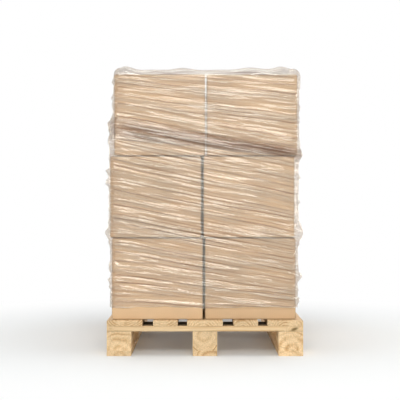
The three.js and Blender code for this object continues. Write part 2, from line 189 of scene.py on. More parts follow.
# Rough-sawn pine: pale earlywood and darker, harder latewood in rings about the pith, so that cut ends show
# arcs and long faces show grain, with a fuzzy, dull surface.
def sawnPine(name, along, pith, ringPitch, knots, checks, darkRing, rings, tone, paintedCornerShade, seed):
    material, tree, output, place = startMaterial(name)
    turn = {"X": (0, math.radians(90), 0), "Y": (math.radians(-90), 0, 0)}[along]
    log = addNode(
        tree, "Mapping", {"Vector": place, "Location": pith, "Rotation": turn}, vector_type="TEXTURE"
    ).outputs[0]  # its Z runs along the log
    slow = addNode(
        tree, "Mapping", {"Vector": log, "Scale": timber["clouds"], "Location": (seed, seed, seed)}
    ).outputs[0]
    sway = addNode(tree, "TexNoise", {"Vector": slow, "Scale": 1.0, "Detail": 2.0}).outputs["Color"]
    sway = addNode(tree, "VectorMath", {0: sway, 1: (0.5, 0.5, 0.5)}, operation="SUBTRACT").outputs[0]
    bent = addNode(
        tree, "VectorMath", {0: sway, 1: timber["sway"], 2: log}, operation="MULTIPLY_ADD"
    ).outputs[0]
    flat = addNode(tree, "VectorMath", {0: bent, 1: (1, 1, 0)}, operation="MULTIPLY").outputs[0]
    radius = addNode(tree, "VectorMath", {0: flat}, operation="LENGTH").outputs["Value"]
    years = addNode(tree, "Math", {0: radius, 1: ringPitch}, operation="DIVIDE").outputs[0]
    weather = addNode(
        tree, "TexNoise", {"W": years, "Scale": 0.45, "Detail": 1.0}, noise_dimensions="1D"
    ).outputs[0]  # good and bad years crowd and spread the rings
    years = addNode(tree, "Math", {0: weather, 1: 1.5, 2: years}, operation="MULTIPLY_ADD").outputs[0]
    knotShade = None
    for middle, halfWidths, tilt, depth in knots:
        turned = (0, math.radians(tilt), 0)
        away = addNode(
            tree, "Mapping", {"Vector": place, "Location": middle, "Rotation": turned, "Scale": halfWidths},
            vector_type="TEXTURE",
        ).outputs[0]
        away = addNode(tree, "VectorMath", {0: away}, operation="LENGTH").outputs["Value"]
        around = addNode(
            tree, "MapRange", {"Value": away, 1: 0.4, 2: 3.2, 3: 2.4, 4: 0.0},
            interpolation_type="SMOOTHERSTEP",
        ).outputs[0]  # the grain flows round a knot
        years = addNode(tree, "Math", {0: years, 1: around}, operation="ADD").outputs[0]
        core = addNode(
            tree, "MapRange", {"Value": away, 1: 0.3, 2: 1.3, 3: depth, 4: 0.0},
            interpolation_type="SMOOTHSTEP",
        ).outputs[0]
        if knotShade is not None:
            core = addNode(tree, "Math", {0: knotShade, 1: core}, operation="MAXIMUM").outputs[0]
        knotShade = core
    ring = addNode(tree, "Math", {0: years}, operation="FRACT").outputs[0]
    late = addNode(tree, "ValToRGB", {"Fac": ring})
    setStops(late, [(0.0, 0.45), (0.22, 0.05), (0.45, 0.15), (0.72, 0.7), (0.85, 0.95), (1.0, 0.45)])
    strength = addNode(
        tree, "TexNoise", {"W": years, "Scale": 0.31, "Detail": 0.0}, noise_dimensions="1D"
    ).outputs[0]
    strength = addNode(
        tree, "MapRange", {"Value": strength, 1: 0.3, 2: 0.7, 3: 0.5 * rings, 4: rings}
    ).outputs[0]
    patch = addNode(tree, "TexNoise", {"Vector": slow, "Scale": 1.7, "Detail": 2.0}).outputs[0]
    patch = addNode(tree, "MapRange", {"Value": patch, 1: 0.36, 2: 0.6, 3: 0.25, 4: 1.1}).outputs[0]
    strength = addNode(tree, "Math", {0: strength, 1: patch}, operation="MULTIPLY").outputs[0]
    core = addNode(tree, "MapRange", {"Value": radius, 1: 0.003, 2: 0.016, 3: 0.1, 4: 1.0}).outputs[0]
    strength = addNode(tree, "Math", {0: strength, 1: core}, operation="MULTIPLY").outputs[0]
    late = addNode(tree, "Math", {0: late.outputs[0], 1: strength}, operation="MULTIPLY").outputs[0]
    if darkRing:
        scar = addNode(tree, "Math", {0: radius, 1: darkRing}, operation="SUBTRACT").outputs[0]
        scar = addNode(tree, "Math", {0: scar}, operation="ABSOLUTE").outputs[0]
        scar = addNode(tree, "MapRange", {"Value": scar, 1: 0.0008, 2: 0.0028, 3: 1.6, 4: 0.0}).outputs[0]
        late = addNode(tree, "Math", {0: late, 1: scar}, operation="MAXIMUM").outputs[0]
    wood = addNode(
        tree, "Mix", {0: late, 6: linear(timber["earlywood"]), 7: linear(timber["latewood"])},
        data_type="RGBA",
    ).outputs[2]
    thin = addNode(tree, "Mapping", {"Vector": log, "Scale": timber["fibres"]}).outputs[0]
    fibre = addNode(tree, "TexNoise", {"Vector": thin, "Scale": 1.0, "Detail": 2.0}).outputs[0]
    cloud = addNode(tree, "TexNoise", {"Vector": slow, "Scale": 0.55, "Detail": 3.0}).outputs[0]
    fibreTone = addNode(tree, "MapRange", {"Value": fibre, 1: 0.3, 2: 0.7, 3: 0.9, 4: 1.06}).outputs[0]
    cloudTone = addNode(
        tree, "MapRange", {"Value": cloud, 1: 0.3, 2: 0.7, 3: 0.88 * tone, 4: 1.08 * tone}
    ).outputs[0]
    shade = addNode(tree, "Math", {0: fibreTone, 1: cloudTone}, operation="MULTIPLY").outputs[0]
    axis = (1, 0, 0) if along == "X" else (0, 1, 0)
    normal = addNode(tree, "NewGeometry").outputs["Normal"]
    endways = addNode(tree, "VectorMath", {0: normal, 1: axis}, operation="DOT_PRODUCT").outputs["Value"]
    cutEnd = addNode(tree, "Math", {0: endways, 1: endways}, operation="MULTIPLY").outputs[0]
    crumbs = addNode(
        tree, "TexNoise", {"Vector": place, "Scale": timber["crumbs"], "Detail": 3.0}
    ).outputs[0]
    crumbs = addNode(tree, "MapRange", {"Value": crumbs, 1: 0.35, 2: 0.65, 3: 0.8, 4: 1.06}).outputs[0]
    endTone = addNode(
        tree, "Mix", {"Factor": cutEnd, "A": 1.0, "B": crumbs}
    ).outputs[0]  # torn fibres mottle the cut ends
    shade = addNode(tree, "Math", {0: shade, 1: endTone}, operation="MULTIPLY").outputs[0]
    # Painted shade: the closest corners are darkened, and where the corner value is below 0 they are painted
    # paler instead, for light bounced between the timbers.
    openness = addNode(
        tree, "AmbientOcclusion", {"Distance": timber["cornerReach"]}, samples=6
    ).outputs["AO"]
    corners = addNode(tree, "MapRange", {"Value": openness, 1: 0.15, 2: 0.9, 3: 1 - paintedCornerShade}).outputs[0]
    shade = addNode(tree, "Math", {0: shade, 1: corners}, operation="MULTIPLY").outputs[0]
    wood = addNode(tree, "VectorMath", {0: wood, "Scale": shade}, operation="SCALE").outputs[0]
    if knotShade is not None:
        wood = addNode(
            tree, "Mix", {0: knotShade, 6: wood, 7: linear(timber["knot"])}, data_type="RGBA"
        ).outputs[2]
    height = addNode(tree, "Math", {0: late, 1: 0.5, 2: fibre}, operation="MULTIPLY_ADD").outputs[0]
    if checks:
        # Drying checks run out from the pith, and show on the cut ends only.
        parts = addNode(tree, "SeparateXYZ", {0: bent}).outputs
        angle = addNode(tree, "Math", {0: parts[1], 1: parts[0]}, operation="ARCTAN2").outputs[0]
        sector = addNode(
            tree, "Math", {0: angle, 1: checks / math.tau, 2: seed}, operation="MULTIPLY_ADD"
        ).outputs[0]
        sector = addNode(tree, "Math", {0: sector}, operation="FRACT").outputs[0]
        off = addNode(tree, "Math", {0: sector, 1: 0.5}, operation="SUBTRACT").outputs[0]
        off = addNode(tree, "Math", {0: off}, operation="ABSOLUTE").outputs[0]
        off = addNode(tree, "Math", {0: off, 1: radius}, operation="MULTIPLY").outputs[0]
        crack = addNode(tree, "MapRange", {"Value": off, 1: 0.0006, 2: 0.0024, 3: 1.0, 4: 0.0}).outputs[0]
        patch = addNode(tree, "MapRange", {"Value": cloud, 1: 0.36, 2: 0.52, 3: 0.1, 4: 0.6}).outputs[0]
        crack = addNode(tree, "Math", {0: crack, 1: patch}, operation="MULTIPLY").outputs[0]
        crack = addNode(tree, "Math", {0: crack, 1: cutEnd}, operation="MULTIPLY").outputs[0]
        wood = addNode(
            tree, "Mix", {0: crack, 6: wood, 7: linear(timber["check"])}, data_type="RGBA"
        ).outputs[2]
        height = addNode(tree, "Math", {0: height, 1: crack}, operation="SUBTRACT").outputs[0]
    bump = addNode(tree, "Bump", {"Height": height, "Strength": 0.35, "Distance": timber["bump"]}).outputs[0]
    smoother = timber["roughness"] - timber["lateGloss"]
    rough = addNode(tree, "MapRange", {"Value": late, 3: timber["roughness"], 4: smoother}).outputs[0]
    surface = addNode(
        tree, "BsdfPrincipled", {"Base Color": wood, "Roughness": rough, "Normal": bump, "IOR": 1.5}
    ).outputs[0]
    tree.links.new(surface, output.inputs[0])
    return material


def paintPallet():
    rng = random.Random(11)
    nodes = sorted(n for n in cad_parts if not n.startswith(("carton", "stretch")))
    for index, node in enumerate(nodes):
        low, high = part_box(node)
        middle = (low + high) / 2
        chosen = timberPieces.get(node, {})
        along = "X" if node.startswith("stringer") else "Y"
        below = rng.choice((-1, 1)) * rng.uniform(0.7, 1.4) * timber["pithBelow"]
        aside = rng.uniform(-0.04, 0.04)
        if along == "X":
            pith = (0, middle.y + aside, middle.z + below)
        else:
            pith = (middle.x + aside, 0, middle.z + below)
        checks = chosen.get("checks", 5 if node.startswith("block") and "pith" not in chosen else 0)
        pitch = timber["ringPitch"]["board" if "deck" in node or "stringer" in node else "block"]
        tone = chosen.get("tone", rng.uniform(0.96, 1.02))
        kind = next((kind for kind in ("block", "stringer") if kind in node), "board")
        paint(node, sawnPine(
            f"sawn_pine_{node}", along, chosen.get("pith", pith), pitch, chosen.get("knots", []), checks,
            chosen.get("darkRing", 0), chosen.get("rings", 1.0), tone, timber["paintedCornerShade"][kind],
            index * 3.7,
        ))
    print("pallet painted")


paintPallet()

kraft = {
    "colour": "#D5B48F",
    "flutePitch": 0.0078,  # C flute, upright on the side panels
    "fluteTone": 0.01,
    "fibre": 0.0016,
    "cloud": 0.11,
    "shades": 4,  # the boxes come from different sheets
    "darkest": 0.93,
    "shadeStep": 0.025,
    # These have a shade of their own, counted from the darkest, and the others take one at random.
    "chosen": {"carton_bottom_row1_left": 3, "carton_bottom_row1_right": 0, "carton_top_row1_left": 3},
    "roughness": 0.82,
    "bump": 0.0004,
    "seamShadow": 0.0036,  # half the height of the painted contact shadow where one layer stands on the next
    "paintedSeamShadow": 0.8,
    "foldWearAndShade": 0.68,  # how much of its colour the paper keeps along its folds, for slight wear and painted shade
}


# Kraft-lined corrugated board: matt brown paper with cloudy fibre, and flutes that just tell through it.
def kraftBoard(name, seed, tone):
    material, tree, output, place = startMaterial(name)
    shifted = addNode(tree, "Mapping", {"Vector": place, "Location": (seed, 2 * seed, 0)}).outputs[0]
    cloud, fibre = (
        addNode(tree, "TexNoise", {"Vector": shifted, "Scale": 1 / kraft[key], "Detail": detail}).outputs[0]
        for key, detail in (("cloud", 4.0), ("fibre", 3.0))
    )
    parts = addNode(tree, "SeparateXYZ", {0: place}).outputs
    across = addNode(tree, "Math", {0: parts[0], 1: parts[1]}, operation="ADD").outputs[0]
    turns = math.tau / kraft["flutePitch"]
    phase = addNode(tree, "Math", {0: across, 1: turns}, operation="MULTIPLY").outputs[0]
    flute = addNode(tree, "Math", {0: phase}, operation="SINE").outputs[0]
    cloudTone = addNode(
        tree, "MapRange", {"Value": cloud, 1: 0.3, 2: 0.7, 3: 0.94 * tone, 4: 1.05 * tone}
    ).outputs[0]
    fibreTone = addNode(tree, "MapRange", {"Value": fibre, 1: 0.25, 2: 0.75, 3: 0.95, 4: 1.04}).outputs[0]
    shade = addNode(tree, "Math", {0: cloudTone, 1: fibreTone}, operation="MULTIPLY").outputs[0]
    shade = addNode(
        tree, "Math", {0: flute, 1: kraft["fluteTone"], 2: shade}, operation="MULTIPLY_ADD"
    ).outputs[0]
    normal = addNode(tree, "NewGeometry").outputs["Normal"]
    upright = addNode(tree, "VectorMath", {0: normal, 1: (1, 1, 0)}, operation="MULTIPLY").outputs[0]
    upright = addNode(tree, "VectorMath", {0: upright}, operation="LENGTH").outputs["Value"]
    # Painted shadow: a dark line on the upright faces where one layer of cartons stands on the next.
    for _, high in layerBoxes[:2]:
        away = addNode(tree, "Math", {0: parts[2], 1: high[2]}, operation="SUBTRACT").outputs[0]
        away = addNode(tree, "Math", {0: away}, operation="ABSOLUTE").outputs[0]
        seamShadow = addNode(
            tree, "MapRange", {"Value": away, 1: 0.0006, 2: kraft["seamShadow"], 3: kraft["paintedSeamShadow"], 4: 0.0}
        ).outputs[0]
        seamShadow = addNode(tree, "Math", {0: seamShadow, 1: upright}, operation="MULTIPLY").outputs[0]
        seamShadow = addNode(tree, "Math", {0: 1.0, 1: seamShadow}, operation="SUBTRACT").outputs[0]
        shade = addNode(tree, "Math", {0: shade, 1: seamShadow}, operation="MULTIPLY").outputs[0]
    # A darker line along the folds at each box's edges: slight wear on the crease, and painted shade where
    # one carton meets the next.
    sides = addNode(tree, "VectorMath", {0: normal}, operation="ABSOLUTE").outputs[0]
    sides = addNode(tree, "SeparateXYZ", {0: sides}).outputs
    square = addNode(tree, "Math", {0: sides[0], 1: sides[1]}, operation="MAXIMUM").outputs[0]
    square = addNode(tree, "Math", {0: square, 1: sides[2]}, operation="MAXIMUM").outputs[0]
    foldWearAndShade = addNode(
        tree, "MapRange", {"Value": square, 1: 0.93, 2: 0.999, 3: kraft["foldWearAndShade"], 4: 1.0}
    ).outputs[0]
    shade = addNode(tree, "Math", {0: shade, 1: foldWearAndShade}, operation="MULTIPLY").outputs[0]
    paper = addNode(
        tree, "VectorMath", {0: linear(kraft["colour"])[:3], "Scale": shade}, operation="SCALE"
    ).outputs[0]
    height = addNode(tree, "Math", {0: flute, 1: 0.3, 2: fibre}, operation="MULTIPLY_ADD").outputs[0]
    bump = addNode(tree, "Bump", {"Height": height, "Strength": 0.25, "Distance": kraft["bump"]}).outputs[0]
    surface = addNode(
        tree, "BsdfPrincipled",
        {"Base Color": paper, "Roughness": kraft["roughness"], "Normal": bump, "IOR": 1.45},
    ).outputs[0]
    tree.links.new(surface, output.inputs[0])
    return material


def paintCartons():
    rng = random.Random(4)
    materials = [
        kraftBoard(f"kraft_board_{i}", i * 5.3, kraft["darkest"] + kraft["shadeStep"] * i)
        for i in range(kraft["shades"])
    ]
    for node in sorted(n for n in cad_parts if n.startswith("carton")):
        shade = rng.randrange(len(materials))
        paint(node, materials[kraft["chosen"].get(node, shade)])
    print("cartons painted")


paintCartons()

wrap = {
    "thickness": 0.0004,  # several plies, as they cling together
    "standoff": 0.002,  # of the innermost turn where it is pulled tight
    "perTurn": 0.0009,  # each turn lies this much further out than the one before
    "webShift": 0.37,  # of the film's own crinkles, from each turn to the next
    "cornerRadius": 0.012,
    "drawIn": 0.07,  # how fast the film draws in from a layer that sticks out
    "foot": 0.050,  # bare strip at the foot of the load
    "rowHeight": 0.0054,
    "sideColumns": {"long": 88, "short": 62},
    "cornerColumns": 5,
    "crowding": 0.6,  # how far the columns of a side crowd towards its corners, from 0 to 1
    "lap": 0.045,  # how far a turn goes on past the corner where the next one starts
    "shoulder": 0.004,  # from the top of the walls up to where the rim and the lip start
    "rimHeight": 0.026,
    "rimWidth": 0.060,
    "rimRows": 22,
    "lipWidth": 0.095,
    "lipRows": 14,
}

# Long folds that the pull of the wrapping leaves, each swelling and dying along its length.
folds = {
    "count": 16,  # one above another
    "rise": 0.0045,
    "swell": 0.640,  # from one swelling of a fold to its next
    "shift": 0.37,  # of that length, from each fold to the one above
    "calm": 0.060,  # the folds die out this near an upright corner
    "fall": {"short": 0.20, "long": 0.12},  # how steeply they run down to the right, at mid height
}

# Narrow pleats between the folds, with ranges from the least to the most.
narrowPleats = {
    "count": 1900,
    "length": 0.24,  # of a middling one
    "spread": 0.5,  # of their lengths, as a logarithm
    "longest": 0.7,
    "stray": 0.022,  # from the slope of the folds
    "width": (0.0032, 0.0072),
    "rise": (0.4, 0.7),  # to the width
    "tallShare": 0.2,  # this share of them stands 1.4 times as high
    "bow": 0.004,
    "lean": (-0.3, 0.8),
}

# Broad bands of slack, which lift the film but take no painted shade or highlight.
slackBands = {
    "count": 150,
    "half": (0.15, 0.4),  # of their length
    "fall": (0.03, 0.2),
    "width": (0.016, 0.034),
    "rise": (0.0015, 0.0035),
    "bow": 0.01,
    "lean": 0.5,
}

# Waves round the load: the height, length and start of each, and for the lip the height as a share of its
# width. The hem's first wave starts further on in each turn.
waves = {
    "hem": [(0.0025, 0.43, 1), (0.0012, 0.11, 0)],
    "rim": [(0.0035, 0.31, 0), (0.0025, 0.137, 1)],
    "lip": [(0.22, 0.57, 0), (0.10, 0.19, 2)],
}

# How far the film stands off each side, for the bottom, middle and top layer.
slack = {
    "left": (0.000, 0.001, 0.001),
    "right": (0.000, 0.008, 0.000),
    "front": (0.000, 0.001, 0.001),
    "rear": (0.001, 0.004, 0.003),
}

# The film winds down the load: the heights of the free lower edge of each turn at the rear left, front left,
# front right and rear right corners, and at the rear left again.
lowerEdges = [
    (0.925, 0.885, 0.808, 0.786, 0.760),
    (0.194, 0.194, 0.194, 0.194, 0.194),
]
webLap = (0.055, 0.090, 0.036, 0.050, 0.055)  # of a turn over the one above: the web bunches down the front

# Loose pockets: the corner (0 rear left, 1 front left, 2 front right, 3 rear right), how far past it along
# the wrap, the height, how far it stands out, and its half height and half width.
pockets = [
    (1, -0.015, 0.939, 0.014, 0.028, 0.050),
    (1, -0.020, 0.880, 0.010, 0.024, 0.055),
    (1, -0.010, 0.709, 0.011, 0.011, 0.030),
    (1, -0.010, 0.492, 0.010, 0.016, 0.035),
    (1, -0.010, 0.368, 0.006, 0.012, 0.030),
    (1, -0.010, 0.303, 0.005, 0.014, 0.030),
    (2, 0.012, 1.130, 0.003, 0.035, 0.050),
    (2, 0.010, 1.017, 0.006, 0.008, 0.030),
    (2, 0.012, 0.822, 0.010, 0.022, 0.045),
    (2, 0.022, 0.505, 0.020, 0.034, 0.060),
    (2, 0.015, 0.321, 0.018, 0.018, 0.040),
    (3, -0.020, 0.730, 0.010, 0.030, 0.060),
    (3, 0.015, 0.400, 0.009, 0.030, 0.060),
    (0, -0.020, 0.620, 0.009, 0.030, 0.060),
    (0, 0.015, 1.010, 0.008, 0.026, 0.050),
]

# Puffs of the rim along the front: place, extra height, half width.
rimPuffs = [(-0.355, 0.014, 0.035), (-0.109, 0.008, 0.050), (0.190, 0.008, 0.060), (0.328, 0.012, 0.035)]

# How much the film is darkened, from 0 to 1: by painted shade on the undersides of its pleats, by the film
# bunched in the rim, by a painted shadow where two layers of cartons meet, in a lap at its upper end, with
# as much again of painted shadow towards the front right, and in a darker line over an upright corner,
# darkest at the front right.
bunchingAndShade = {"pleats": 0.30, "rim": 0.6, "paintedJointShadow": 0.4, "lap": (0.42, 0.45), "corner": (0.4, 0.45)}

# How milky it is, from 0 to 1: on the rim, and as a painted highlight on the crests of pleats, and less so
# in the painted shadow of a joint and in a lap.
cloudingAndHighlight = {"rim": 0.8, "highlitCrests": 0.8, "paintedJointShadow": 0.3, "lap": (0.3, 0.4), "least": -0.5}


def reach(z, side):  # how far out the film is held on one side, at each height
    axis, sign = {"left": (0, -1), "right": (0, 1), "front": (1, -1), "rear": (1, 1)}[side]
    best = np.full_like(z, -9.0)
    for (low, high), loose in zip(layerBoxes, slack[side]):
        face = high[axis] if sign > 0 else -low[axis]
        away = np.maximum(0, np.maximum(low[2] - z, z - high[2]))
        best = np.maximum(best, face + loose - wrap["drawIn"] * away)
    return best


# The columns of one turn, from the rear left corner down the left side, along the front and back round: each
# has its place on the inner rectangle (-1 to 1) and the direction it faces.
def makeColumns():
    places, outward, starts = [], [], []
    stops = [(-1, 1), (-1, -1), (1, -1), (1, 1), (-1, 1)]
    for start, end, kind in zip(stops, stops[1:], ("long", "short", "long", "short")):
        heading = np.sign(np.subtract(end, start)).astype(float)
        normal = np.array([heading[1], -heading[0]])
        count = wrap["sideColumns"][kind]
        starts.append(len(places))
        for i in range(count):
            share = i / count
            crowded = (1 - math.cos(math.pi * share)) / 2
            share = (1 - wrap["crowding"]) * share + wrap["crowding"] * crowded
            places.append(np.array(start) * (1 - share) + np.array(end) * share)
            outward.append(normal)
        for i in range(wrap["cornerColumns"]):
            angle = math.pi / 2 * i / wrap["cornerColumns"]
            places.append(np.array(end, float))
            outward.append(normal * math.cos(angle) + heading * math.sin(angle))
    places, outward = np.array(places), np.array(outward)
    half = (layerBoxes[1][1] - layerBoxes[1][0])[:2] / 2
    plan = places * (half - wrap["cornerRadius"]) + outward * wrap["cornerRadius"]
    steps = np.linalg.norm(np.roll(plan, -1, axis=0) - plan, axis=1)
    at = np.concatenate([[0], np.cumsum(steps)[:-1]])
    girth = steps.sum()
    return places, outward, plan, at, girth, np.append(at[starts], girth)


columnPlace, columnOut, columnPlan, columnAt, girth, cornerAt = makeColumns()
roundAt = (columnAt - cornerAt[1]) % girth  # past the front left corner, along the front first
onFront = (columnAt > cornerAt[1]) & (columnAt < cornerAt[2])
onShortSide = onFront | (columnAt > cornerAt[3])
sideMiddles = (cornerAt[:-1] + cornerAt[1:]) / 2
columnRun = np.interp(  # how far along its own side each column is, from the middle, but for the last 20 mm
    columnAt,
    np.sort(np.append(cornerAt[:-1], cornerAt[1:] - 0.02)),
    np.column_stack([cornerAt[:-1] - sideMiddles, cornerAt[1:] - sideMiddles]).ravel(),
)
columnFall = np.where(onShortSide, folds["fall"]["short"], folds["fall"]["long"])
filmFoot = deckTop + wrap["foot"]
wallTop = loadTop - wrap["shoulder"]


def bell(x):  # 1 where x is 0, falling to nothing by about 2 either way
    return np.exp(-(x**2))


def past(at, mark):  # the shorter way round from a mark to each place along the wrap
    return (at - mark + girth / 2) % girth - girth / 2


toCorner = np.min([np.abs(past(columnAt, corner)) for corner in cornerAt], axis=0)


def nearCorner(width):  # 1 at an upright corner of the load, falling to nothing within about two widths
    return bell(toCorner / width)[:, None]


def rippled(level, at, kind, starts=1):
    for height, length, start in waves[kind]:
        level = level + height * np.sin(at * math.tau / length + start * starts)
    return level


def fallAt(height):  # of the folds, against their fall at mid height
    share = np.clip((height - filmFoot) / (wallTop - filmFoot), 0.02, 0.98)
    return np.sin(math.pi * share) ** 0.4


def alongFolds(z):  # the height that each place would have if the folds ran level
    level = z
    for _ in range(6):
        level = z + fallAt(level) * (columnFall * columnRun)[:, None]
    return level


# Long shallow ridges that run down to the right, steepest where the film was wound down fastest, and pile up
# where they cross. Those low on the load stand a little higher.
def makePleats():
    rng = np.random.default_rng(5)
    pleats = []
    for _ in range(narrowPleats["count"]):
        height = rng.uniform(filmFoot, loadTop + 0.03)
        at = rng.uniform(0, girth)
        width = rng.uniform(*narrowPleats["width"])
        length = rng.lognormal(math.log(narrowPleats["length"]), narrowPleats["spread"])
        stray = rng.normal(0, narrowPleats["stray"])
        rise = rng.uniform(*narrowPleats["rise"]) * width
        rise *= 1.0 if rng.random() < 1 - narrowPleats["tallShare"] else 1.4
        pleats.append({
            "at": at,
            "height": height,
            "half": 0.5 * min(narrowPleats["longest"], length),
            "slope": -(fallAt(height) * np.interp(at, columnAt, columnFall) + stray),
            "width": width,
            "rise": rise * (1.15 - 0.4 * height / loadTop),
            "bow": rng.uniform(-narrowPleats["bow"], narrowPleats["bow"]),
            "lean": rng.uniform(*narrowPleats["lean"]),
            "shadeAndHighlight": 1.0,
        })
    for _ in range(slackBands["count"]):
        pleats.append({
            "at": rng.uniform(0, girth),
            "height": rng.uniform(filmFoot, loadTop),
            "half": rng.uniform(*slackBands["half"]),
            "slope": -rng.uniform(*slackBands["fall"]),
            "width": rng.uniform(*slackBands["width"]),
            "rise": rng.uniform(*slackBands["rise"]),
            "bow": rng.uniform(-slackBands["bow"], slackBands["bow"]),
            "lean": rng.uniform(-slackBands["lean"], slackBands["lean"]),
            "shadeAndHighlight": 0.0,
        })
    return pleats


# The film's relief at each column and row, how much it is darkened there, by painted shade on the undersides
# of pleats and folds and by more film in a pocket, how much painted highlight it takes near the crest of a
# pleat or fold, and how far it hangs in a pocket.
def relief(z, pleats):
    at = columnAt[:, None]
    rise = np.zeros_like(z)
    gatheredAndShaded = np.zeros_like(z)
    crestHighlight = np.zeros_like(z)
    loosened = np.zeros_like(z)
    for pleat in pleats:
        along = past(columnAt, pleat["at"])
        near = np.nonzero(np.abs(along) < pleat["half"])[0]
        if len(near) == 0:
            continue
        way = along[near, None]
        taper = (1 - (way / pleat["half"]) ** 2) ** 0.8
        line = pleat["height"] + pleat["slope"] * way + pleat["bow"] * taper
        across = (z[near] - line) / pleat["width"]
        rise[near] += pleat["rise"] * (bell(across) * taper) * (1 + pleat["lean"] * np.tanh(2 * across))
        gatheredAndShaded[near] += 0.6 * (bell(1.4 * (across + 0.8)) * taper * pleat["shadeAndHighlight"])  # painted shade on its underside
        # Painted highlight: milk just above its crest.
        crestHighlight[near] += 0.7 * (bell(1.4 * (across - 0.2)) * taper * pleat["shadeAndHighlight"])
    rise *= 1 - 0.5 * nearCorner(0.02)  # the film is tightest over the corners
    order = (alongFolds(z) - filmFoot) / (wallTop - filmFoot) * folds["count"]
    fold = np.clip(np.ceil(order), 1, folds["count"])
    swell = np.sin(math.tau * (roundAt[:, None] / folds["swell"] + folds["shift"] * fold))
    crest = (1 - np.cos(math.tau * order)) / 2 * (1 - nearCorner(folds["calm"]))
    swell = np.maximum(0, swell) * ((z > filmFoot) & (z < wallTop))
    rise += folds["rise"] * swell * crest
    # Painted highlight along the crest of a fold, and painted shade on its lower flank.
    crestHighlight += 0.5 * swell * crest**2
    gatheredAndShaded += 0.4 * swell * np.maximum(0, np.sin(math.tau * order)) * crest
    for corner, beyond, height, out, tall, wide in pockets:
        along = past(at, cornerAt[corner] + beyond) / wide
        puff = np.exp(-np.abs(along) ** 2.4 - np.abs((z - height) / tall) ** 2.8)
        rise += out * puff
        gatheredAndShaded += (25 * max(0, out - 0.012) - gatheredAndShaded) * puff  # a deep pocket holds more film
        crestHighlight *= 1 - puff
        loosened = np.maximum(loosened, puff)
    return np.maximum(rise, -0.001), np.clip(gatheredAndShaded, 0, 1), np.clip(crestHighlight, 0, 1), loosened


def rimExtra():  # the rise and fall of the rim round the load
    extra = rippled(0, roundAt, "rim")
    extra[onFront] *= 0.3
    extra[onFront] -= 0.008
    for place, height, width in rimPuffs:
        extra[onFront] += height * bell((columnPlan[onFront, 0] - place) / width)
    return extra


# The rows of one turn from its lower edge up: their heights on the wall, and how far in from it and above it
# they lie. The top turn goes on over the puffed rim and the lip folded in over the cartons.
def turnRows(turn, overlap):
    count = len(columnAt)
    bottom = rippled(np.interp(columnAt, cornerAt, lowerEdges[turn]), columnAt, "hem", turn)
    if turn == 0:
        top = np.full(count, wallTop)
    else:
        top = np.interp(columnAt, cornerAt, lowerEdges[turn - 1]) + overlap
    wallRows = math.ceil((top - bottom).max() / wrap["rowHeight"])
    z = bottom[:, None] + (top - bottom)[:, None] * np.linspace(0, 1, wallRows + 1)[None, :]
    inset = np.zeros_like(z)
    rise = np.zeros_like(z)
    if turn == 0:
        lift = 1 + rimExtra() / wrap["rimHeight"]
        lipEdge = rippled(1, roundAt, "lip")
        for i in range(1, wrap["rimRows"] + 1):
            t = i / wrap["rimRows"]
            puff = wrap["rimHeight"] * lift * math.sin(math.pi * t**0.78)
            inset = np.column_stack([inset, np.full(count, wrap["rimWidth"] * t**1.1)])
            rise = np.column_stack([rise, wrap["shoulder"] + puff])
        for i in range(1, wrap["lipRows"] + 1):
            folded = wrap["lipWidth"] * lipEdge * i / wrap["lipRows"]
            inset = np.column_stack([inset, wrap["rimWidth"] + folded])
            rise = np.column_stack([rise, np.full(count, wrap["shoulder"])])
        z = np.column_stack([z, np.repeat(top[:, None], rise.shape[1] - z.shape[1], axis=1)])
    return bottom, top, z, inset, rise


# What the film's material reads at each point: how far it is gathered or darkened by painted shade, how
# milky it is, painted highlights included, and how tightly it lies. aboveHem is the height over the turn's
# lower edge, and lapped how far the point is inside a lap.
def filmFields(aboveHem, lapped, z, inset, rise, gatheredAndShaded, crestHighlight, loosened):
    onWall = inset == 0
    hem = bell(aboveHem / 0.004)
    folded = np.clip(rise / 0.008, 0, 1) * ((inset > 0) & (inset < 0.9 * wrap["rimWidth"]))
    puffed = np.clip(0.6 + rimExtra() / 0.016, 0.3, 1)[:, None]  # it gathers most where the rim is highest
    stands = rise / max(rise.max(), wrap["rimHeight"])  # a turn without a rim has no rise
    onRim = bunchingAndShade["rim"] * puffed * folded * (1 - 0.5 * stands**3)
    gatheredAndShaded = np.clip(bunchingAndShade["pleats"] * gatheredAndShaded * onWall + onRim, 0, 1)
    lapped = np.clip(lapped, 0, 1) * onWall * (1 - loosened)
    lapped *= np.where(onShortSide, 1, 0.25)[:, None]
    lapped *= 1 - 0.8 * nearCorner(0.018)  # past the cartons nothing lies behind it
    # A darker line over each upright corner, darkest at the front right.
    corner = nearCorner(0.006) * onWall
    atRight = bell((columnAt - cornerAt[2]) / 0.04)[:, None]
    cornerDarkening = bunchingAndShade["corner"][0] + bunchingAndShade["corner"][1] * atRight
    # Painted shadow along the line where two layers of cartons meet.
    paintedJointShadow = bell((z - layerBoxes[1][1][2]) / 0.005) * onWall
    # The painted shadow in a lap grows along the front towards the right.
    lapShadowGrowth = np.where(onFront, 0.5 + columnRun / (cornerAt[2] - cornerAt[1]), 0.5)[:, None]
    bunched = (bunchingAndShade["lap"][0] + bunchingAndShade["lap"][1] * lapShadowGrowth) * lapped
    gatheredAndShaded = np.clip(gatheredAndShaded + bunched + bunchingAndShade["paintedJointShadow"] * paintedJointShadow + cornerDarkening * corner, 0, 1)
    milkAndHighlight = hem + cloudingAndHighlight["rim"] * puffed * folded + cloudingAndHighlight["highlitCrests"] * crestHighlight * onWall
    milkAndHighlight = milkAndHighlight - (cloudingAndHighlight["lap"][0] + cloudingAndHighlight["lap"][1] * lapShadowGrowth) * lapped - cloudingAndHighlight["paintedJointShadow"] * paintedJointShadow
    taut = 0.6 * nearCorner(0.004) * onWall + 0.25 * loosened + 0.3 * lapped
    return {
        "gatheredAndShaded": gatheredAndShaded, "milkAndHighlight": np.clip(milkAndHighlight, cloudingAndHighlight["least"], 1), "taut": np.clip(taut, 0, 1),
    }


